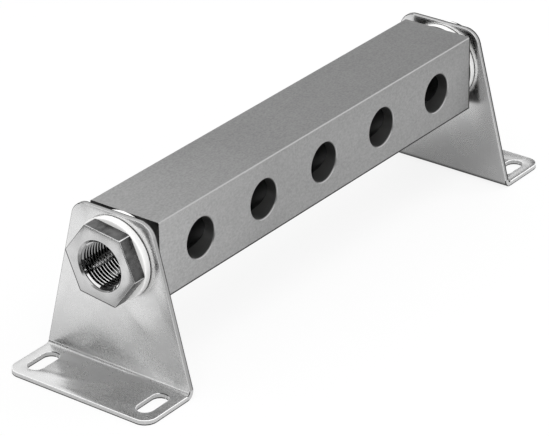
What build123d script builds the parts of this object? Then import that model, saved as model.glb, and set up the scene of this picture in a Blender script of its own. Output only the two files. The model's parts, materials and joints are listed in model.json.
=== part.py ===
from build123d import *
import os

os.makedirs("parts", exist_ok=True)

# A square metal bar carries air along one channel to a row of cross ports.
# A hollow fitting screws into the left end to feed it and a collared plug
# closes the right end. Each clamps a folded sheet bracket between two sealing
# rings. X runs along the rail, the ports look towards -Y, and Z = 0 is the
# surface under the feet.

# Rail
rail_side = 27.0
rail_edge_break = 0.3
port_count = 5
port_pitch = 32.0
port_end_distance = 20.0
port_diameter = 13.5
port_edge_break = 0.35
channel_diameter = 19.0
end_thread_diameter = 21.0
end_thread_depth = 12.8
end_thread_mouth_break = 0.6

# Place of the rail's axis over the feet
axis_height = 41.5
axis_forward = 1.2

# Sealing rings
ring_band_width = 3.15
ring_thickness = 2.8
ring_edge_break = 0.3
ring_bore_clearance = 0.15

# Hollow fitting at the left end
fitting_across_flats = 24.0
fitting_head_thickness = 5.2
fitting_turn = -7.0
fitting_corner_trim = 0.6
fitting_trim_depth = 0.35
supply_bore_diameter = 14.95
supply_mouth_diameter = 17.3
supply_mouth_angle = 90.0

# Closing plug at the right end
plug_collar_diameter = 25.0
plug_collar_thickness = 2.5
plug_collar_break = 0.3
plug_socket_across_flats = 10.0
plug_socket_depth = 7.0
plug_socket_turn = 10.0

# Shanks of both
shank_clearance = 0.05
shank_reach = 12.0
shank_lead_in = 1.0

# Folded brackets
sheet_thickness = 1.8
bend_inner_radius = 1.2
upright_top_width = 30.0
upright_top_above_axis = 14.65
upright_corner_radius = 6.0
bracket_hole_clearance = 0.2
foot_width = 57.0
foot_length = 22.4
foot_corner_radius = 4.5
slot_length = 12.5
slot_width = 5.8
slot_spacing = 44.0
slot_from_upright = 12.0

# Places worked out from the sizes above
rail_length = (port_count - 1) * port_pitch + 2 * port_end_distance
rail_end = rail_length / 2
rail_front = axis_forward + rail_side / 2
bracket_inner_face = rail_end + ring_thickness
bracket_outer_face = bracket_inner_face + sheet_thickness
head_back = bracket_outer_face + ring_thickness
fitting_front = head_back + fitting_head_thickness
plug_front = head_back + plug_collar_thickness
shank_diameter = end_thread_diameter - 2 * shank_clearance
shank_length = head_back - rail_end + shank_reach
ring_bore_diameter = shank_diameter + 2 * ring_bore_clearance
ring_outer_diameter = ring_bore_diameter + 2 * ring_band_width
bracket_hole_diameter = shank_diameter + 2 * bracket_hole_clearance
upright_top = axis_height + upright_top_above_axis
foot_tip = bracket_inner_face + foot_length


# Plane across the rail's axis at a distance from its middle, looking outwards.
def axis_plane(distance, side):
    return Plane(
        origin=(side * distance, -axis_forward, axis_height),
        x_dir=(0, side, 0),
        z_dir=(side, 0, 0),
    )


# The rail is a square bar, bored through, with its ports drilled across both walls.
with BuildPart() as manifold_rail:
    with BuildSketch(axis_plane(rail_end, 1)):
        Rectangle(rail_side, rail_side)
    extrude(amount=-rail_length)
    chamfer(manifold_rail.edges().filter_by(Axis.X), rail_edge_break)
    with Locations(axis_plane(rail_end, 1)):
        Hole(channel_diameter / 2, depth=rail_length)
    with Locations(Plane.XZ.offset(rail_front)):
        with Locations((0, axis_height)):
            with GridLocations(port_pitch, 1, port_count, 1):
                Hole(port_diameter / 2, depth=rail_side)
    port_rims = (
        manifold_rail.edges()
        .filter_by(GeomType.CIRCLE)
        .filter_by(lambda rim: abs(rim.radius - port_diameter / 2) < 0.01)
    )
    chamfer(port_rims, port_edge_break)
    with Locations(axis_plane(rail_end, 1), axis_plane(rail_end, -1)):
        CounterSinkHole(
            end_thread_diameter / 2,
            end_thread_diameter / 2 + end_thread_mouth_break,
            depth=end_thread_depth,
        )
manifold_rail.part.label = "manifold_rail"
export_step(manifold_rail.part, "parts/manifold_rail.step")


# A sealing ring with its inner face at a distance from the rail's middle.
def export_sealing_ring(name, distance, side):
    with BuildPart() as sealing_ring:
        with BuildSketch(axis_plane(distance, side)):
            Circle(ring_outer_diameter / 2)
            Circle(ring_bore_diameter / 2, mode=Mode.SUBTRACT)
        extrude(amount=ring_thickness)
        outer_rims = sealing_ring.edges().filter_by(GeomType.CIRCLE).group_by(SortBy.RADIUS)[-1]
        chamfer(outer_rims, ring_edge_break)
    sealing_ring.part.label = name
    export_step(sealing_ring.part, f"parts/{name}.step")


# The hollow fitting has a hexagon head, with its corners trimmed on the ring's side,
# and a shank that fills the rail's end. The supply bore runs through both.
with BuildPart() as end_fitting_left:
    corner_radius = fitting_across_flats / 3**0.5
    with BuildSketch(axis_plane(head_back, -1)):
        RegularPolygon(corner_radius, 6, rotation=fitting_turn)
    extrude(amount=fitting_head_thickness)
    with BuildSketch(axis_plane(head_back, -1)):
        Circle(corner_radius - fitting_corner_trim)
    with BuildSketch(axis_plane(head_back + fitting_trim_depth, -1)):
        Circle(corner_radius)
    with BuildSketch(axis_plane(fitting_front, -1)):
        Circle(corner_radius)
    loft(ruled=True, mode=Mode.INTERSECT)
    with BuildSketch(axis_plane(head_back, -1)):
        Circle(shank_diameter / 2)
    extrude(amount=-shank_length)
    fitting_tip = end_fitting_left.faces().sort_by(Axis.X)[-1]
    chamfer(fitting_tip.edges(), shank_lead_in)
    with Locations(axis_plane(fitting_front, -1)):
        CounterSinkHole(
            supply_bore_diameter / 2,
            supply_mouth_diameter / 2,
            depth=fitting_head_thickness + shank_length,
            counter_sink_angle=supply_mouth_angle,
        )
end_fitting_left.part.label = "end_fitting_left"
export_step(end_fitting_left.part, "parts/end_fitting_left.step")

# The closing plug has a round collar with a hexagon socket in its face, and the same
# shank without a bore.
with BuildPart() as end_plug_right:
    with BuildSketch(axis_plane(head_back, 1)):
        Circle(plug_collar_diameter / 2)
    extrude(amount=plug_collar_thickness)
    chamfer(end_plug_right.edges().group_by(Axis.X)[-1], plug_collar_break)
    with BuildSketch(axis_plane(head_back, 1)):
        Circle(shank_diameter / 2)
    extrude(amount=-shank_length)
    plug_tip = end_plug_right.faces().sort_by(Axis.X)[0]
    chamfer(plug_tip.edges(), shank_lead_in)
    with BuildSketch(axis_plane(plug_front, 1)):
        RegularPolygon(plug_socket_across_flats / 3**0.5, 6, rotation=plug_socket_turn)
    extrude(amount=-plug_socket_depth, mode=Mode.SUBTRACT)
end_plug_right.part.label = "end_plug_right"
export_step(end_plug_right.part, "parts/end_plug_right.step")

# The bracket at the right end. One half of the sheet is folded along its outer
# line, from the foot's tip round the bend to the top, tapering as it rises, and
# is mirrored across the fold.
with BuildPart() as mounting_bracket_right:
    with BuildLine(Plane.XZ):
        FilletPolyline(
            (foot_tip, sheet_thickness),
            (bracket_outer_face, sheet_thickness),
            (bracket_outer_face, upright_top),
            radius=bend_inner_radius,
        )
    half_widths = [foot_width / 2, foot_width / 2, foot_width / 2, upright_top_width / 2]
    make_brake_formed(sheet_thickness, half_widths, side=Side.LEFT)
    mirror(about=Plane.XZ)
    top_edges = mounting_bracket_right.edges().group_by(Axis.Z)[-1]
    fillet(top_edges.sort_by(SortBy.LENGTH)[:2], upright_corner_radius)
    foot_corners = mounting_bracket_right.edges().filter_by(Axis.Z).group_by(Axis.X)[-1]
    fillet(foot_corners, foot_corner_radius)
    with Locations(axis_plane(bracket_outer_face, 1)):
        Hole(bracket_hole_diameter / 2, depth=sheet_thickness)
    with BuildSketch(Plane.XY.offset(sheet_thickness)):
        with Locations((bracket_inner_face + slot_from_upright, 0)):
            with GridLocations(1, slot_spacing, 1, 2):
                SlotOverall(slot_length, slot_width)
    extrude(amount=-sheet_thickness, mode=Mode.SUBTRACT)
mounting_bracket_right.part.label = "mounting_bracket_right"
export_step(mounting_bracket_right.part, "parts/mounting_bracket_right.step")

# The bracket at the left end is folded the other way.
with BuildPart() as mounting_bracket_left:
    mirror(mounting_bracket_right.part, about=Plane.YZ)
mounting_bracket_left.part.label = "mounting_bracket_left"
export_step(mounting_bracket_left.part, "parts/mounting_bracket_left.step")

export_sealing_ring("inner_sealing_ring_left", rail_end, -1)
export_sealing_ring("inner_sealing_ring_right", rail_end, 1)
export_sealing_ring("outer_sealing_ring_left", bracket_outer_face, -1)
export_sealing_ring("outer_sealing_ring_right", bracket_outer_face, 1)
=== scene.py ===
import json
import math

import bpy
from mathutils import Matrix, Vector

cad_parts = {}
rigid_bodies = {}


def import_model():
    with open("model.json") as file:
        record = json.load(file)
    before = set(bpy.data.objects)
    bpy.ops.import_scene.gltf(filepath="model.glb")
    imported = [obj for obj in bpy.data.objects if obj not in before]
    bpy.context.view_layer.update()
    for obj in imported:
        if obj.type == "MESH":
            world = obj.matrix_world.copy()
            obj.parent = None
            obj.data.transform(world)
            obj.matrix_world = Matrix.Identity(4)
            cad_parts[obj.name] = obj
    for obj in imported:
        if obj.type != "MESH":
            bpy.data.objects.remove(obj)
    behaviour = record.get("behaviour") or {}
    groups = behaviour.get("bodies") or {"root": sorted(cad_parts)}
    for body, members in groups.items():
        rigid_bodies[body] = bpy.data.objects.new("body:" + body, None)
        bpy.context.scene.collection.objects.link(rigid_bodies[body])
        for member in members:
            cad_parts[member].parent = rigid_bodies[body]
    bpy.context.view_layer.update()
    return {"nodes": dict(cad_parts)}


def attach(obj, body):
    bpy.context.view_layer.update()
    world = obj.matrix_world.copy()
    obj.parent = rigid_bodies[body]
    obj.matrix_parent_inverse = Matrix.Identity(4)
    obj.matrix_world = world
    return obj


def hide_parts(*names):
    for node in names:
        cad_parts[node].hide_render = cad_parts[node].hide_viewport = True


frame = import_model()
nodes = frame["nodes"]

mm = 0.001
axisY = -1.2 * mm        # where the rail's axis runs
axisZ = 41.5 * mm

noiseRange = (0.3, 0.7)        # most of a noise pattern's values lie in it
white = (1.0, 1.0, 1.0)


def deselectAll():
    bpy.ops.object.select_all(action="DESELECT")


def activate(thing):
    deselectAll()
    thing.select_set(True)
    bpy.context.view_layer.objects.active = thing


# Leaves the active mesh in object mode with none of its parts selected.
def clearParts(kind):
    bpy.ops.object.mode_set(mode="EDIT")
    bpy.ops.mesh.select_mode(type=kind)
    bpy.ops.mesh.select_all(action="DESELECT")
    bpy.ops.object.mode_set(mode="OBJECT")


# Selects the faces of the active mesh whose middle and normal pass the test.
def selectFaces(thing, test):
    clearParts("FACE")
    for face in thing.data.polygons:
        face.select = test(face.center, face.normal)


# Selects the edges of the active mesh whose two ends pass the test.
def selectEdges(thing, test):
    clearParts("EDGE")
    points = thing.data.vertices
    for edge in thing.data.edges:
        edge.select = test(points[edge.vertices[0]].co, points[edge.vertices[1]].co)


def applyModifier(thing, modifier):
    activate(thing)
    bpy.ops.object.modifier_apply(modifier=modifier.name)


copied = {"mergeDistance": 0.0005 * mm, "flatAngle": 0.4}


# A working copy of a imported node: merged, with its flat faces whole again.
def copyNode(nodeName, pieceName):
    activate(nodes[nodeName])
    bpy.ops.object.duplicate()
    piece = bpy.context.active_object
    piece.name = pieceName
    piece.data.name = pieceName
    bpy.ops.object.parent_clear(type="CLEAR_KEEP_TRANSFORM")
    bpy.ops.mesh.customdata_custom_splitnormals_clear()
    bpy.ops.object.mode_set(mode="EDIT")
    bpy.ops.mesh.select_all(action="SELECT")
    bpy.ops.mesh.remove_doubles(threshold=copied["mergeDistance"])
    bpy.ops.mesh.mark_sharp(clear=True)
    bpy.ops.mesh.dissolve_limited(angle_limit=math.radians(copied["flatAngle"]))
    bpy.ops.object.mode_set(mode="OBJECT")
    return piece


# Rounds the sharp edges of a piece by its settings, with a finish of their own if one is given.
def softenEdges(piece, size, materialIndex=-1):
    bevel = piece.modifiers.new("softEdge", "BEVEL")
    bevel.width = size["softEdge"]
    bevel.segments = size["segments"]
    bevel.limit_method = "ANGLE"
    bevel.angle_limit = math.radians(size["sharpAngle"])
    bevel.use_clamp_overlap = True
    bevel.harden_normals = False
    bevel.material = materialIndex
    applyModifier(piece, bevel)


def assignFaces(piece, slotIndex, test):
    activate(piece)
    selectFaces(piece, test)
    piece.active_material_index = slotIndex
    bpy.ops.object.mode_set(mode="EDIT")
    bpy.ops.object.material_slot_assign()
    bpy.ops.object.mode_set(mode="OBJECT")


def smooth(piece, angle):
    activate(piece)
    bpy.ops.object.shade_smooth_by_angle(angle=math.radians(angle), keep_sharp_edges=False)


def newFinish(name, metallic=0.0):
    finish = bpy.data.materials.new(name)
    finish.use_nodes = True
    tree = finish.node_tree
    shader = tree.nodes["Principled BSDF"]
    shader.inputs["Metallic"].default_value = metallic
    place = tree.nodes.new("ShaderNodeTexCoord").outputs["Object"]
    return finish, tree, shader, place


# Gives a socket its value, which is a number or another node's output.
def feed(tree, value, socket):
    if isinstance(value, bpy.types.NodeSocket):
        tree.links.new(value, socket)
    else:
        socket.default_value = value


def calc(tree, operation, first, second=0.0, third=0.0):
    node = tree.nodes.new("ShaderNodeMath")
    node.operation = operation
    feed(tree, first, node.inputs[0])
    feed(tree, second, node.inputs[1])
    feed(tree, third, node.inputs[2])
    return node.outputs[0]


# A noise pattern on the piece; stretch is the size of its cells in mm along X, Y and Z.
def speckle(tree, place, stretch, detail, roughness=0.55):
    scaled = tree.nodes.new("ShaderNodeMapping")
    scaled.inputs["Scale"].default_value = [1.0 / (size * mm) for size in stretch]
    tree.links.new(place, scaled.inputs["Vector"])
    noise = tree.nodes.new("ShaderNodeTexNoise")
    noise.inputs["Scale"].default_value = 1.0
    noise.inputs["Detail"].default_value = detail
    noise.inputs["Roughness"].default_value = roughness
    tree.links.new(scaled.outputs["Vector"], noise.inputs["Vector"])
    return noise.outputs["Fac"]


# Stretches one range of values to another, and holds it at the ends.
def fit(tree, value, source, target):
    node = tree.nodes.new("ShaderNodeMapRange")
    feed(tree, value, node.inputs["Value"])
    node.inputs["From Min"].default_value = source[0]
    node.inputs["From Max"].default_value = source[1]
    node.inputs["To Min"].default_value = target[0]
    node.inputs["To Max"].default_value = target[1]
    return node.outputs["Result"]


# A noise as a value round a middle; changes holds the most that it falls and rises.
def vary(tree, noise, changes, middle=0.0):
    return fit(tree, noise, noiseRange, (middle + changes[0], middle + changes[1]))


def blendValue(tree, mask, low, high):
    node = tree.nodes.new("ShaderNodeMix")
    node.data_type = "FLOAT"
    feed(tree, mask, node.inputs[0])
    feed(tree, low, node.inputs[2])
    feed(tree, high, node.inputs[3])
    return node.outputs[0]


def greyOf(tree, value, tint):
    node = tree.nodes.new("ShaderNodeCombineColor")
    for index in range(3):
        feed(tree, calc(tree, "MULTIPLY", value, tint[index]), node.inputs[index])
    return node.outputs[0]


def paint(tree, shader, tone, roughness, tint=white):
    tree.links.new(greyOf(tree, tone, tint), shader.inputs["Base Color"])
    tree.links.new(roughness, shader.inputs["Roughness"])


def relief(tree, shader, height, look):
    node = tree.nodes.new("ShaderNodeBump")
    node.inputs["Strength"].default_value = look["reliefStrength"]
    node.inputs["Distance"].default_value = look["reliefDepth"]
    tree.links.new(height, node.inputs["Height"])
    tree.links.new(node.outputs["Normal"], shader.inputs["Normal"])


# The place on the piece, with Y and Z counted from the rail's axis.
def axes(tree, place):
    node = tree.nodes.new("ShaderNodeSeparateXYZ")
    tree.links.new(place, node.inputs[0])
    x = node.outputs[0]
    y = calc(tree, "SUBTRACT", node.outputs[1], axisY)
    z = calc(tree, "SUBTRACT", node.outputs[2], axisZ)
    return x, y, z


def distanceOf(tree, first, second):
    squares = [calc(tree, "MULTIPLY", side, side) for side in (first, second)]
    return calc(tree, "SQRT", calc(tree, "ADD", *squares))


# The top skin and the deep and shaded tones are painted shade, the near end's lift is painted light,
# and the edge tone is wear with a painted highlight.
railLook = {
    "skin": 0.41, "shadedTopSkin": 0.34, "skinRoughness": 0.44,
    "grain": (0.8, 0.6, 0.6), "grainTone": (-0.065, 0.065), "grainRoughness": (-0.05, 0.05),
    "cloud": (26, 14, 14), "cloudTone": (-0.012, 0.012),
    "nearEndLight": (1.28, 1.0), "nearEndLightReach": (-84 * mm, -30 * mm),
    "edge": 0.52, "edgeRoughness": 0.30,
    "bored": 0.29, "boredRoughness": 0.50, "toolMarks": (9, 0.35, 9),
    "deepShade": 0.08, "shaded": 0.04,
    "halfSide": 13.5 * mm, "edgeBreak": 0.3 * mm, "cornerSlack": 0.03 * mm,
    "endPlane": 83.97 * mm, "rightEdge": 83.45 * mm, "lowerEdge": -12.75 * mm,
    "portPitch": 32 * mm, "portRadius": 6.75 * mm, "portEdge": 0.35 * mm,
    "rimSlack": 0.02 * mm, "wallSlack": 0.14 * mm,
    "seatRadius": 11.2 * mm, "channelRadius": 9.6 * mm,
    "reliefDepth": 0.012 * mm, "reliefStrength": 0.6,
}


# Satin anodised bar with a fine grain, with painted light towards its near end and its top
# painted darker as shade. Its edges and port rims are brighter, as wear and as a painted
# highlight, its bored walls are darker, the channel deep inside is painted dark as shade,
# and its ends and the lowest and last strips of its sides lie in painted shade.
def makeRailMetal():
    look = railLook
    finish, tree, shader, place = newFinish("railMetal", metallic=1.0)
    x, y, z = axes(tree, place)
    across = calc(tree, "ABSOLUTE", y)
    fromAxis = distanceOf(tree, y, z)
    grain = speckle(tree, place, look["grain"], detail=4.0)
    cloud = speckle(tree, place, look["cloud"], detail=2.0)
    toolMarks = speckle(tree, place, look["toolMarks"], detail=2.0)

    mottle = calc(tree, "ADD", vary(tree, grain, look["grainTone"]),
                  vary(tree, cloud, look["cloudTone"]))
    # Painted shade: the top is painted darker than the sides.
    shadedTop = calc(tree, "GREATER_THAN", z, look["halfSide"] - look["edgeBreak"])
    skin = calc(tree, "ADD", mottle, blendValue(tree, shadedTop, look["skin"], look["shadedTopSkin"]))
    # Painted light: the bar is lightened towards its near end.
    skin = calc(tree, "MULTIPLY", skin, fit(tree, x, look["nearEndLightReach"], look["nearEndLight"]))

    # The long edges and port rims are brighter as wear and as a painted highlight.
    corner = calc(tree, "ADD", across, calc(tree, "ABSOLUTE", z))
    cornerFrom = 2 * look["halfSide"] - look["edgeBreak"] - look["cornerSlack"]
    longEdge = calc(tree, "GREATER_THAN", corner, cornerFrom)
    alongPort = calc(tree, "WRAP", x, look["portPitch"] / 2, -look["portPitch"] / 2)
    fromPort = distanceOf(tree, alongPort, z)
    rimRadius = look["portRadius"] + look["portEdge"] + look["rimSlack"]
    rim = calc(tree, "LESS_THAN", fromPort, rimRadius)
    edge = calc(tree, "MAXIMUM", longEdge, rim)

    portWall = calc(tree, "LESS_THAN", fromPort, look["portRadius"] + look["wallSlack"])
    seat = calc(tree, "LESS_THAN", fromAxis, look["seatRadius"])
    bored = calc(tree, "MAXIMUM", portWall, seat)
    # Painted shade deep inside the channel.
    deepShade = calc(tree, "LESS_THAN", fromAxis, look["channelRadius"])

    onSide = calc(tree, "GREATER_THAN", across, look["halfSide"] - look["edgeBreak"])
    lowest = calc(tree, "LESS_THAN", z, look["lowerEdge"])
    last = calc(tree, "GREATER_THAN", x, look["rightEdge"])
    strip = calc(tree, "MULTIPLY", onSide, calc(tree, "MAXIMUM", lowest, last))
    end = calc(tree, "GREATER_THAN", calc(tree, "ABSOLUTE", x), look["endPlane"])

    tone = blendValue(tree, edge, skin, look["edge"])
    tone = blendValue(tree, bored, tone, look["bored"])
    tone = blendValue(tree, deepShade, tone, look["deepShade"])
    tone = blendValue(tree, calc(tree, "MAXIMUM", end, strip), tone, look["shaded"])
    rough = calc(tree, "ADD", vary(tree, grain, look["grainRoughness"]), look["skinRoughness"])
    rough = blendValue(tree, edge, rough, look["edgeRoughness"])
    rough = blendValue(tree, bored, rough, look["boredRoughness"])
    paint(tree, shader, tone, rough)
    relief(tree, shader, blendValue(tree, bored, grain, toolMarks), look)
    return finish


# The tones by height are painted shade near the floor, with a little painted light high on the far
# inner face.
sheetLook = {
    "tone": 0.80, "roughness": 0.262,
    "streak": (1.5, 0.3, 7), "streakTone": (-0.015, 0.015), "streakHeight": 0.7,
    "smudge": (13, 11, 9),
    "paleRange": (0.42, 0.70), "paleTone": (0.01, -0.03),
    "dullRange": (0.42, 0.72), "dullRoughness": (0.0, 0.07),
    "grain": (0.4, 0.4, 0.4), "grainRoughness": (-0.03, 0.03),
    "wave": (9, 9, 12), "waveHeight": 4.0,
    "innerReach": 88 * mm,
    "fold": (0.05, 1.0), "foldHeights": (1.2 * mm, 2.3 * mm),
    "farShade": (0.79, 1.09), "farShadeHeights": (3 * mm, 32 * mm),
    "reliefDepth": 0.004 * mm, "reliefStrength": 0.7,
}


# Bright plated sheet: rolling streaks, faint smudges and a soft waviness. The inner faces
# get painted shade right over the floor, and the far one also a soft painted shade towards
# it, with a little painted light higher up.
def makeSheetMetal():
    look = sheetLook
    finish, tree, shader, place = newFinish("sheetMetal", metallic=1.0)
    x, y, z = axes(tree, place)
    height = calc(tree, "ADD", z, axisZ)
    streak = speckle(tree, place, look["streak"], detail=3.0)
    smudge = speckle(tree, place, look["smudge"], detail=4.0, roughness=0.6)
    grain = speckle(tree, place, look["grain"], detail=3.0)
    wave = speckle(tree, place, look["wave"], detail=1.0)

    tone = calc(tree, "ADD", fit(tree, smudge, look["paleRange"], look["paleTone"]),
                vary(tree, streak, look["streakTone"]))
    tone = calc(tree, "ADD", tone, look["tone"])
    outer = calc(tree, "GREATER_THAN", calc(tree, "ABSOLUTE", x), look["innerReach"])
    # Painted shade on the inner faces right over the floor.
    fold = fit(tree, height, look["foldHeights"], look["fold"])
    fold = calc(tree, "MAXIMUM", fold, outer)
    # Painted shade low on the far inner face, with a little painted light higher up.
    farInner = calc(tree, "MULTIPLY", calc(tree, "GREATER_THAN", x, 0.0),
                    calc(tree, "SUBTRACT", 1.0, outer))
    farShade = fit(tree, height, look["farShadeHeights"], look["farShade"])
    shade = calc(tree, "MULTIPLY", fold, blendValue(tree, farInner, 1.0, farShade))

    rough = fit(tree, smudge, look["dullRange"], look["dullRoughness"])
    rough = calc(tree, "ADD", rough, look["roughness"])
    rough = calc(tree, "ADD", rough, vary(tree, grain, look["grainRoughness"]))
    paint(tree, shader, calc(tree, "MULTIPLY", tone, shade), rough)
    dents = calc(tree, "ADD", calc(tree, "MULTIPLY", wave, look["waveHeight"]),
                 calc(tree, "MULTIPLY", streak, look["streakHeight"]))
    relief(tree, shader, dents, look)
    return finish


# The dark finish of the rounded edges is painted shade, and the bright one is a painted highlight.
cutLook = {
    "cutEdge": {"tone": 0.64, "roughness": 0.45, "metallic": 0.5},
    "highlightEdge": {"tone": 0.95, "roughness": 0.30, "metallic": 0.3},
    "shadeLineEdge": {"tone": 0.03, "roughness": 0.40, "metallic": 1.0},
    "shadedRise": 0.62, "risingFrom": 3 * mm,
    "shadeLineHeight": 0.45 * mm, "rearLeft": -87.25 * mm, "rearRight": 87.85 * mm,
    "grit": (0.5, 0.5, 0.5), "gritTone": (0.9, 1.06), "gritRoughness": (-0.05, 0.08),
    "reliefDepth": 0.01 * mm, "reliefStrength": 0.6,
}


# The sheared sides are bright, with painted shade where they rise, and a dark line of
# painted shade along the rear of an upright and along the floor.
def makeCutMetal(name):
    look = cutLook
    metal = look[name]
    finish, tree, shader, place = newFinish(name, metal["metallic"])
    x, y, z = axes(tree, place)
    height = calc(tree, "ADD", z, axisZ)
    shadedRise = calc(tree, "GREATER_THAN", height, look["risingFrom"])
    rear = blendValue(tree, calc(tree, "GREATER_THAN", x, 0.0), look["rearLeft"], look["rearRight"])
    onRear = calc(tree, "MULTIPLY", calc(tree, "GREATER_THAN", x, rear), shadedRise)
    # A painted shade line along the rear of an upright and along the floor.
    shadeLine = calc(tree, "MAXIMUM", onRear, calc(tree, "LESS_THAN", height, look["shadeLineHeight"]))
    grit = speckle(tree, place, look["grit"], detail=3.0)
    # Painted shade: where the cut sides rise, they are darker than along the foot.
    clean = blendValue(tree, shadedRise, metal["tone"], look["shadedRise"] * metal["tone"])
    clean = calc(tree, "MULTIPLY", clean, vary(tree, grit, look["gritTone"]))
    rough = vary(tree, grit, look["gritRoughness"], metal["roughness"])
    paint(tree, shader, blendValue(tree, shadeLine, clean, look["shadeLineEdge"]["tone"]), rough)
    relief(tree, shader, grit, look)
    return finish


ringLook = {
    "tone": 0.87, "tint": (1.0, 0.998, 0.99), "roughness": 0.38, "ior": 1.46,
    "mottle": (3, 3, 3), "mottleTone": (-0.02, 0.02), "mottleRoughness": (-0.06, 0.06),
    "cornerShade": 0.12, "cornerShadePlanes": (84.0 * mm, 86.8 * mm, 88.6 * mm),
    "cornerShadeWidths": (0.5 * 0.42 * mm, 0.42 * mm),
    "reliefDepth": 0.01 * mm, "reliefStrength": 0.4,
}


# Hard white plastic with painted shade in the corners where a ring meets its neighbours.
def makeRingPlastic():
    look = ringLook
    finish, tree, shader, place = newFinish("ringPlastic")
    shader.inputs["IOR"].default_value = look["ior"]
    x, y, z = axes(tree, place)
    mottle = speckle(tree, place, look["mottle"], detail=4.0)
    tone = vary(tree, mottle, look["mottleTone"], look["tone"])
    rough = vary(tree, mottle, look["mottleRoughness"], look["roughness"])
    # Painted shade near the planes where a ring meets its neighbours.
    outwards = calc(tree, "ABSOLUTE", x)
    nearest = 1.0
    for plane in look["cornerShadePlanes"]:
        fromPlane = calc(tree, "ABSOLUTE", calc(tree, "SUBTRACT", outwards, plane))
        nearest = calc(tree, "MINIMUM", fromPlane, nearest)
    clear = fit(tree, nearest, look["cornerShadeWidths"], (0.0, 1.0))
    paint(tree, shader, blendValue(tree, clear, look["cornerShade"], tone), rough, look["tint"])
    relief(tree, shader, mottle, look)
    return finish


turnedLook = {
    "tone": 0.64, "roughness": 0.20,
    "ringsPerMm": 6.0, "ringTone": (-0.03, 0.03),
    "stain": (7, 5, 5), "stainTone": (0.04, -0.05), "stainRoughness": (-0.04, 0.06),
    "edgeShade": 0.05, "edgeShadeAngles": (203, 263), "edgeShadeFrom": 11.5 * mm,
    "reliefDepth": 0.006 * mm, "reliefStrength": 0.25,
}


# Turned face: fine rings round the axis, with painted shade along its lower left edges.
def makeTurnedMetal():
    look = turnedLook
    finish, tree, shader, place = newFinish("turnedMetal", metallic=1.0)
    x, y, z = axes(tree, place)
    noise = tree.nodes.new("ShaderNodeTexNoise")
    noise.noise_dimensions = "1D"
    noise.inputs["Scale"].default_value = 1.0
    noise.inputs["Detail"].default_value = 3.0
    fromAxis = distanceOf(tree, y, z)
    tree.links.new(calc(tree, "MULTIPLY", fromAxis, look["ringsPerMm"] / mm), noise.inputs["W"])
    rings = noise.outputs["Fac"]
    stain = speckle(tree, place, look["stain"], detail=3.0)
    tone = calc(tree, "ADD", vary(tree, rings, look["ringTone"]), look["tone"])
    tone = calc(tree, "ADD", tone, vary(tree, stain, look["stainTone"]))
    rough = vary(tree, stain, look["stainRoughness"], look["roughness"])
    # Painted shade along the face's lower left edges.
    reach = 0.0
    for angle in look["edgeShadeAngles"]:
        sideways = calc(tree, "MULTIPLY", y, -math.cos(math.radians(angle)))
        upwards = calc(tree, "MULTIPLY", z, math.sin(math.radians(angle)))
        reach = calc(tree, "MAXIMUM", calc(tree, "ADD", sideways, upwards), reach)
    edgeShade = calc(tree, "GREATER_THAN", reach, look["edgeShadeFrom"])
    paint(tree, shader, blendValue(tree, edgeShade, tone, look["edgeShade"]), rough)
    relief(tree, shader, rings, look)
    return finish


plainLook = {
    "drawnFlats": {"tone": 0.11, "roughness": 0.26, "stained": 0.6},
    "brokenEdgeHighlight": {"tone": 0.85, "roughness": 0.24, "stained": 0.12},
    "stain": (4, 2.5, 2.5), "stainRoughness": (-0.05, 0.07),
    "grain": (2.5, 0.3, 0.3), "grainShare": (0.94, 1.06),
    "reliefDepth": 0.004 * mm, "reliefStrength": 0.5,
}


# Drawn metal with stains, for the fittings' dark flats and their bright broken edges with a painted
# highlight.
def makePlainMetal(name):
    look = plainLook
    metal = look[name]
    finish, tree, shader, place = newFinish(name, metallic=1.0)
    stain = speckle(tree, place, look["stain"], detail=4.0)
    grain = speckle(tree, place, look["grain"], detail=2.0)
    stained = metal["stained"] * metal["tone"]
    least, most = look["grainShare"]
    tone = calc(tree, "ADD", vary(tree, stain, (-stained, stained)),
                vary(tree, grain, (least * metal["tone"], most * metal["tone"])))
    paint(tree, shader, tone, vary(tree, stain, look["stainRoughness"], metal["roughness"]))
    relief(tree, shader, grain, look)
    return finish


# The flank tone is a painted highlight and the root tone is painted shade.
threadLook = {
    "flankHighlight": 0.90, "root": 0.03, "flankTilts": (0.45, 0.75), "roughness": 0.07,
    "stain": (4, 2.5, 2.5), "stainShare": (0.94, 1.04), "stainRoughness": (-0.04, 0.05),
    "reliefDepth": 0.002 * mm, "reliefStrength": 0.3,
}


# Flanks with a painted highlight, and crests and roots between them painted dark as shade.
def makeThreadMetal():
    look = threadLook
    finish, tree, shader, place = newFinish("threadMetal", metallic=1.0)
    stain = speckle(tree, place, look["stain"], detail=3.0)
    facing = tree.nodes.new("ShaderNodeSeparateXYZ")
    geometry = tree.nodes.new("ShaderNodeNewGeometry")
    tree.links.new(geometry.outputs["True Normal"], facing.inputs[0])
    tilt = calc(tree, "ABSOLUTE", facing.outputs[0])
    # Painted highlight on the flanks and painted shade on the crests and roots, by which way each
    # face turns.
    onFlank = fit(tree, tilt, look["flankTilts"], (0.0, 1.0))
    least, most = look["stainShare"]
    bright = vary(tree, stain, (least * look["flankHighlight"], most * look["flankHighlight"]))
    rough = vary(tree, stain, look["stainRoughness"], look["roughness"])
    paint(tree, shader, blendValue(tree, onFlank, look["root"], bright), rough)
    relief(tree, shader, stain, look)
    return finish


print("finishes")
railMetal = makeRailMetal()
sheetMetal = makeSheetMetal()
cutEdge = makeCutMetal("cutEdge")
highlightEdge = makeCutMetal("highlightEdge")
shadeLineEdge = makeCutMetal("shadeLineEdge")
ringPlastic = makeRingPlastic()
turnedMetal = makeTurnedMetal()
flatMetal = makePlainMetal("drawnFlats")
threadMetal = makeThreadMetal()
edgeHighlightMetal = makePlainMetal("brokenEdgeHighlight")


print("rail")
nodes["manifold_rail"].material_slots[0].material = railMetal


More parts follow.
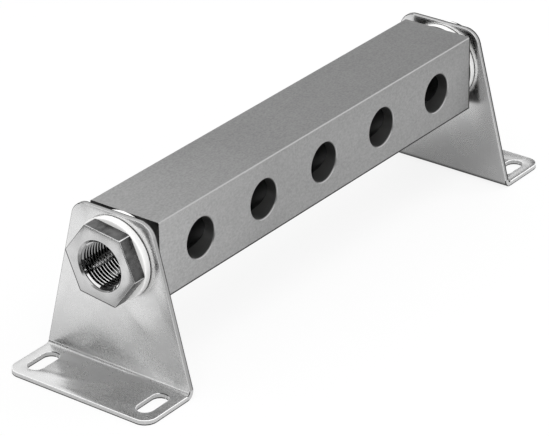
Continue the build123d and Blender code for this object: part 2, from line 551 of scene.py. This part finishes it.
# A face is square to an axis when this much of its normal lies along it, and belongs to
# the bend when less than level of it points sideways.
bracket = {
    "tip": 109.1 * mm, "top": 56.1 * mm, "foldEnd": 92 * mm,
    "square": 0.99, "level": 0.02,
    "sideFrom": 4 * mm, "footFrom": 93 * mm, "footOver": 1 * mm,
    "rounded": (0.2, 0.98), "turnedBack": 0.1,
    "softEdge": 0.26 * mm, "segments": 3, "sharpAngle": 40, "smoothAngle": 35,
    "cutSlot": 1, "shadeLineSlot": 2, "highlightSlot": 3,
}


# The cut sides are the faces that are neither flat with the sheet nor in its bend.
def isCutSide(middle, normal):
    upright = abs(normal.x) > bracket["square"] and abs(middle.x) < bracket["foldEnd"]
    flat = upright or abs(normal.z) > bracket["square"]
    tip = abs(middle.x) > bracket["tip"] or middle.z > bracket["top"]
    bend = abs(normal.y) < bracket["level"]
    return tip or not (flat or bend)


# The rounded edges that face the front get a painted highlight.
def isHighlightEdge(middle, normal):
    least, most = bracket["rounded"]
    side = middle.z > bracket["sideFrom"] and normal.y < bracket["turnedBack"]
    foot = abs(middle.x) > bracket["footFrom"] and middle.z > bracket["footOver"]
    return (side and least < -normal.x < most) or (foot and least < normal.z < most)


# The sheared sheet gets rounded edges, painted dark as shade or with a painted highlight where they
# face the front, and brighter cut sides.
def makeBracket(side):
    node = "mounting_bracket_" + side
    piece = copyNode(node, "bracket_sheet_" + side)
    piece.data.materials.clear()
    for finish in (sheetMetal, cutEdge, shadeLineEdge, highlightEdge):
        piece.data.materials.append(finish)
    assignFaces(piece, bracket["cutSlot"], isCutSide)
    # The rounded edges get the dark finish of the painted shade line.
    softenEdges(piece, bracket, bracket["shadeLineSlot"])
    # Painted highlight on the rounded edges that face the front.
    assignFaces(piece, bracket["highlightSlot"], isHighlightEdge)
    smooth(piece, bracket["smoothAngle"])
    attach(piece, "root")
    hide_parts(node)


print("brackets")
for side in ("left", "right"):
    makeBracket(side)


ring = {"softEdge": 0.3 * mm, "segments": 3, "sharpAngle": 30, "smoothAngle": 30}


def makeRing(node, name):
    piece = copyNode(node, name)
    piece.data.materials.clear()
    piece.data.materials.append(ringPlastic)
    softenEdges(piece, ring)
    smooth(piece, ring["smoothAngle"])
    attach(piece, "root")
    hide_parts(node)


print("sealing rings")
for side in ("left", "right"):
    for layer in ("inner", "outer"):
        makeRing(layer + "_sealing_ring_" + side, layer + "_ring_" + side)


# The edge slot's finish is a broken edge with a painted highlight.
screwSlots = {"flat": 1, "thread": 2, "edge": 3}


# A copy of a screwed piece with the fittings' four finishes, the turned one on all of it.
def dressScrew(node, name):
    piece = copyNode(node, name)
    piece.data.materials.clear()
    for finish in (turnedMetal, flatMetal, threadMetal, edgeHighlightMetal):
        piece.data.materials.append(finish)
    return piece


def reachOf(point):
    return math.hypot(point.y - axisY, point.z - axisZ)


fitting = {
    "face": 96.6 * mm, "faceSlack": 0.02 * mm, "headBack": 91.4 * mm,
    "flatReach": 11.4 * mm, "flatInset": 0.7 * mm, "flatTilt": 0.3,
    "rounded": (0.2, 0.98), "turnedBack": 0.1, "turnedDown": -0.35,
    "softEdge": 0.22 * mm, "segments": 3, "smoothAngle": 32,
    "pitch": 1.337 * mm, "minor": 7.475 * mm, "major": 8.33 * mm, "halfAngle": 27.5,
    "rootShoulder": 0.02 * mm, "rootTip": 0.03 * mm, "overcut": 0.12 * mm,
    "turns": 17, "steps": 72, "threadStart": 97.6 * mm,
    "threadReach": 8.45 * mm, "threadTilt": 0.95, "mouthTilts": (0.65, 0.75),
}


def isHeadFlat(middle, normal):
    onHead = fitting["headBack"] < -middle.x < fitting["face"] - fitting["flatInset"]
    outside = reachOf(middle) > fitting["flatReach"]
    return onHead and outside and abs(normal.x) < fitting["flatTilt"]


def onFace(point):
    return abs(abs(point.x) - fitting["face"]) < fitting["faceSlack"]


# The edges round the hexagon's face, and those that run back from its corners.
def isHeadEdge(first, second):
    outside = min(reachOf(first), reachOf(second)) > fitting["flatReach"]
    return outside and (onFace(first) or onFace(second))


# The rounded edges that look back or down get the flats' dark tone as painted shade.
def isShadedEdge(middle, normal):
    least, most = fitting["rounded"]
    away = normal.y > fitting["turnedBack"] or normal.z < fitting["turnedDown"]
    return reachOf(middle) > fitting["flatReach"] and away and least < -normal.x < most


# The thread is all that lies inside its reach but the shank's end and the chamfered mouth.
def isThread(middle, normal):
    least, most = fitting["mouthTilts"]
    inside = reachOf(middle) < fitting["threadReach"] and abs(normal.x) < fitting["threadTilt"]
    return inside and not least < -normal.x < most


def roundHead(piece):
    selectEdges(piece, isHeadEdge)
    bpy.ops.object.mode_set(mode="EDIT")
    bpy.ops.mesh.bevel(offset=fitting["softEdge"], offset_type="OFFSET",
                       segments=fitting["segments"], profile=0.5, material=screwSlots["edge"])
    bpy.ops.object.mode_set(mode="OBJECT")


# Helical cutter for the supply thread: one pipe thread groove, run in from outside the mouth.
def makeThreadCutter():
    size = fitting
    slope = math.tan(math.radians(size["halfAngle"]))
    depth = size["major"] - size["minor"]
    middleHalf = size["pitch"] / 4
    rootHalf = middleHalf - depth / 2 * slope
    openHalf = middleHalf + (depth / 2 + size["overcut"]) * slope
    openReach = size["minor"] - size["overcut"]
    rootReach = size["major"] - size["rootShoulder"]
    tipReach = size["major"] + size["rootTip"]
    profile = [(-openHalf, openReach), (openHalf, openReach),
               (rootHalf, rootReach), (0, tipReach), (-rootHalf, rootReach)]
    deselectAll()
    bpy.ops.mesh.primitive_circle_add(vertices=len(profile), radius=1, location=(0, axisY, axisZ))
    cutter = bpy.context.active_object
    for vertex, (along, out) in zip(cutter.data.vertices, profile):
        vertex.co = (-size["threadStart"] + along, -out, 0)
    sweep = cutter.modifiers.new("helix", "SCREW")
    sweep.axis = "X"
    sweep.angle = 2 * math.pi
    sweep.iterations = size["turns"]
    sweep.screw_offset = size["pitch"]
    sweep.steps = size["steps"]
    sweep.render_steps = size["steps"]
    sweep.use_smooth_shade = True
    applyModifier(cutter, sweep)
    bpy.ops.object.mode_set(mode="EDIT")
    bpy.ops.mesh.select_all(action="SELECT")
    bpy.ops.mesh.fill_holes(sides=0)
    bpy.ops.mesh.select_all(action="SELECT")
    bpy.ops.mesh.normals_make_consistent(inside=False)
    bpy.ops.object.mode_set(mode="OBJECT")
    return cutter


def cutThread(piece):
    cutter = makeThreadCutter()
    cut = piece.modifiers.new("thread", "BOOLEAN")
    cut.operation = "DIFFERENCE"
    cut.solver = "EXACT"
    cut.object = cutter
    applyModifier(piece, cut)
    bpy.data.objects.remove(cutter)
    assignFaces(piece, screwSlots["thread"], isThread)


print("fitting")
supplyFitting = dressScrew("end_fitting_left", "supply_fitting")
assignFaces(supplyFitting, screwSlots["flat"], isHeadFlat)
# The hexagon's rounded edges get the bright finish with its painted highlight.
roundHead(supplyFitting)
# Painted shade: the rounded edges that look back or down take the flats' dark tone.
assignFaces(supplyFitting, screwSlots["flat"], isShadedEdge)
cutThread(supplyFitting)
smooth(supplyFitting, fitting["smoothAngle"])


plug = {
    "socketReach": 6 * mm, "socketPlanes": (85 * mm, 93.8 * mm),
    "softEdge": 0.25 * mm, "segments": 3, "sharpAngle": 25, "smoothAngle": 30,
}


# The walls and the floor of the plug's hexagon socket.
def isSocket(middle, normal):
    bottom, mouth = plug["socketPlanes"]
    return reachOf(middle) < plug["socketReach"] and bottom < middle.x < mouth


print("plug")
closingPlug = dressScrew("end_plug_right", "closing_plug")
assignFaces(closingPlug, screwSlots["flat"], isSocket)
softenEdges(closingPlug, plug)
smooth(closingPlug, plug["smoothAngle"])

for piece, node in ((supplyFitting, "end_fitting_left"), (closingPlug, "end_plug_right")):
    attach(piece, "root")
    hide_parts(node)


# The camera was solved from the photo: angles in degrees, the focal length in the photo's
# pixels, and the place in mm, which the scale takes to the part's real size.
camera = {
    "azimuth": -52.371, "elevation": 27.406, "roll": -1.033,
    "focal": 3043.5, "photoWidth": 549, "sensorWidth": 36,
    "distance": 1099.61, "across": 5.869, "up": 23.966, "scale": 0.9, "clipEnd": 20,
}


def placeCamera():
    turn = math.radians(camera["azimuth"])
    lift = math.radians(camera["elevation"])
    roll = math.radians(camera["roll"])
    back = Vector((math.sin(turn) * math.cos(lift), -math.cos(turn) * math.cos(lift), math.sin(lift)))
    right = (-back).cross(Vector((0, 0, 1))).normalized()
    above = right.cross(-back)
    sideways = math.cos(roll) * right + math.sin(roll) * above
    upwards = -math.sin(roll) * right + math.cos(roll) * above
    distance = camera["distance"] * camera["scale"] * mm
    across = camera["across"] * camera["scale"] * mm
    up = camera["up"] * camera["scale"] * mm
    spot = Vector((0, axisY, axisZ)) + back * distance - sideways * across - upwards * up
    lens = bpy.data.cameras.new("camera")
    lens.sensor_fit = "HORIZONTAL"
    lens.sensor_width = camera["sensorWidth"]
    lens.lens = camera["focal"] * camera["sensorWidth"] / camera["photoWidth"]
    lens.clip_end = camera["clipEnd"]
    holder = bpy.data.objects.new("camera", lens)
    bpy.context.scene.collection.objects.link(holder)
    holder.matrix_world = Matrix((
        (sideways.x, upwards.x, back.x, spot.x),
        (sideways.y, upwards.y, back.y, spot.y),
        (sideways.z, upwards.z, back.z, spot.z),
        (0, 0, 0, 1)))
    bpy.context.scene.camera = holder


print("stage")
placeCamera()


# Sizes and distances in metres, power in watts.
softboxes = {
    "keyBox": {"towards": (0.70, -0.46, 0.62), "distance": 1.3, "size": 0.5, "power": 2.4},
    "topBox": {"towards": (-0.35, -0.25, 1.0), "distance": 1.2, "size": 0.8, "power": 6.0},
}


# Softbox: an area lamp that looks at the part. The metal mirrors the cards and not the lamps.
def addSoftbox(name, box):
    lamp = bpy.data.lights.new(name, "AREA")
    lamp.shape = "SQUARE"
    lamp.size = box["size"]
    lamp.energy = box["power"]
    holder = bpy.data.objects.new(name, lamp)
    bpy.context.scene.collection.objects.link(holder)
    way = Vector(box["towards"]).normalized()
    holder.location = Vector((0, axisY, axisZ)) + way * box["distance"]
    holder.rotation_euler = way.to_track_quat("Z", "Y").to_euler()
    holder.visible_glossy = False


for name, box in softboxes.items():
    addSoftbox(name, box)


# Masks of the rays that come from the camera and of those that a mirror or glass sends on.
def rayMasks(tree):
    rays = tree.nodes.new("ShaderNodeLightPath")
    passed = calc(tree, "MAXIMUM", rays.outputs["Is Glossy Ray"], rays.outputs["Is Transmission Ray"])
    return rays.outputs["Is Camera Ray"], passed


def mixInto(tree, surface, share, first, second):
    mix = tree.nodes.new("ShaderNodeMixShader")
    tree.links.new(share, mix.inputs[0])
    tree.links.new(first, mix.inputs[1])
    tree.links.new(second, mix.inputs[2])
    tree.links.new(mix.outputs[0], surface)


paper = {
    "size": 8, "tone": 0.8, "roughness": 0.9, "seen": 0.85, "mirrored": 0.8,
    "shade": (0.33, 1.0), "shadeReach": (12 * mm, 74 * mm), "halfLength": 92 * mm,
}


# White paper. In the metal it shows a soft shade under the part and clears to white around it.
def makeFloor():
    deselectAll()
    bpy.ops.mesh.primitive_plane_add(size=paper["size"])
    floor = bpy.context.active_object
    floor.name = "floor"
    finish, tree, shader, place = newFinish("floorPaper")
    shader.inputs["Base Color"].default_value = (paper["tone"], paper["tone"], paper["tone"], 1)
    shader.inputs["Roughness"].default_value = paper["roughness"]
    shader.inputs["Specular IOR Level"].default_value = 0.0
    spot = tree.nodes.new("ShaderNodeSeparateXYZ")
    tree.links.new(place, spot.inputs[0])
    past = calc(tree, "SUBTRACT", calc(tree, "ABSOLUTE", spot.outputs[0]), paper["halfLength"])
    away = distanceOf(tree, calc(tree, "MAXIMUM", past, 0.0), spot.outputs[1])
    shade = fit(tree, away, paper["shadeReach"], paper["shade"])
    direct, passed = rayMasks(tree)
    glow = tree.nodes.new("ShaderNodeEmission")
    tree.links.new(blendValue(tree, direct, shade, 1.0), glow.inputs["Strength"])
    share = calc(tree, "MAXIMUM", calc(tree, "MULTIPLY", direct, paper["seen"]),
                 calc(tree, "MULTIPLY", passed, paper["mirrored"]))
    surface = tree.nodes["Material Output"].inputs["Surface"]
    mixInto(tree, surface, share, shader.outputs[0], glow.outputs[0])
    floor.data.materials.append(finish)


makeFloor()


backdrop = {"light": 0.95, "seen": 1.0}


# White all round: at full strength to the camera and in the metal, a little less as light.
def makeWorld():
    world = bpy.data.worlds.new("studio")
    bpy.context.scene.world = world
    world.use_nodes = True
    tree = world.node_tree
    dim = tree.nodes["Background"]
    bright = tree.nodes.new("ShaderNodeBackground")
    for shader, strength in ((dim, backdrop["light"]), (bright, backdrop["seen"])):
        shader.inputs["Color"].default_value = (*white, 1)
        shader.inputs["Strength"].default_value = strength
    direct, passed = rayMasks(tree)
    surface = tree.nodes["World Output"].inputs["Surface"]
    mixInto(tree, surface, calc(tree, "MAXIMUM", direct, passed), dim.outputs[0], bright.outputs[0])


makeWorld()


# Curved cards stand round the set and flat ones lie on the floor, all in metres.
# An arc has a name, a tone, two azimuths from +X and two elevations in degrees.
# A flat card has a name, a tone, a middle and its two sides.
cards = {
    "steps": 120, "radius": 1.0, "flatLift": 0.5 * mm,
    "arcs": (
        ("farCard", 0.02, 28, 74, 0, 18),
        ("tallCard", 0.02, -10, 25, 0, 56),
        ("rearCard", 0.02, 100, 139, 0, 19),
        ("lowCard", 0.02, 139, 150, 9.5, 21.5),
        ("windowCard", 0.29, 112, 176, 21.5, 56),
        ("nearCard", 0.02, 182, 266, 0, 18),
    ),
    "flat": (
        ("deskCard", 0.24, (-160 * mm, -97 * mm), (0.07, 0.226)),
        ("paleDesk", 0.68, (-215 * mm, 100 * mm), (0.12, 0.10)),
        ("darkDesk", 0.02, (-308 * mm, -97 * mm), (0.226, 0.226)),
    ),
}


# Cards are seen only in the metal: they light nothing and shade nothing.
def hangCard(card, tone):
    finish = bpy.data.materials.new(card.name)
    finish.use_nodes = True
    shader = finish.node_tree.nodes["Principled BSDF"]
    shader.inputs["Base Color"].default_value = (tone, tone, tone, 1)
    shader.inputs["Specular IOR Level"].default_value = 0.0
    card.data.materials.append(finish)
    card.visible_camera = False
    card.visible_diffuse = False
    card.visible_shadow = False


def makeArc(name, tone, fromAzimuth, toAzimuth, low, high):
    radius = cards["radius"]
    bottom = radius * math.tan(math.radians(low))
    top = radius * math.tan(math.radians(high))
    deselectAll()
    bpy.ops.mesh.primitive_cylinder_add(
        vertices=cards["steps"], radius=radius, depth=top - bottom,
        end_fill_type="NOTHING", location=(0, 0, axisZ + (top + bottom) / 2))
    arc = bpy.context.active_object
    arc.name = name

    def outside(middle, normal):
        azimuth = math.degrees(math.atan2(middle.y, middle.x))
        return (azimuth - fromAzimuth) % 360 > toAzimuth - fromAzimuth

    selectFaces(arc, outside)
    bpy.ops.object.mode_set(mode="EDIT")
    bpy.ops.mesh.delete(type="FACE")
    bpy.ops.object.mode_set(mode="OBJECT")
    hangCard(arc, tone)


def makeFlatCard(name, tone, middle, sides):
    deselectAll()
    bpy.ops.mesh.primitive_plane_add(size=1, location=(*middle, cards["flatLift"]))
    bpy.ops.transform.resize(value=(*sides, 1))
    card = bpy.context.active_object
    card.name = name
    hangCard(card, tone)


surroundCard = {"tone": 0.02, "middle": (-30 * mm, 20 * mm, 0.4 * mm), "hole": 0.27, "spread": 8}


# A dark table with a round hole of white paper, in which the part stands.
def makeSurround():
    deselectAll()
    bpy.ops.mesh.primitive_circle_add(
        vertices=cards["steps"], radius=surroundCard["hole"], fill_type="NOTHING",
        location=surroundCard["middle"])
    surround = bpy.context.active_object
    surround.name = "surroundCard"
    bpy.ops.object.mode_set(mode="EDIT")
    bpy.ops.mesh.select_all(action="SELECT")
    bpy.ops.mesh.extrude_edges_move()
    bpy.ops.transform.resize(value=(surroundCard["spread"], surroundCard["spread"], 1))
    bpy.ops.object.mode_set(mode="OBJECT")
    hangCard(surround, surroundCard["tone"])


for arc in cards["arcs"]:
    makeArc(*arc)
for card in cards["flat"]:
    makeFlatCard(*card)
makeSurround()

scene = bpy.context.scene
scene.view_settings.view_transform = "Standard"
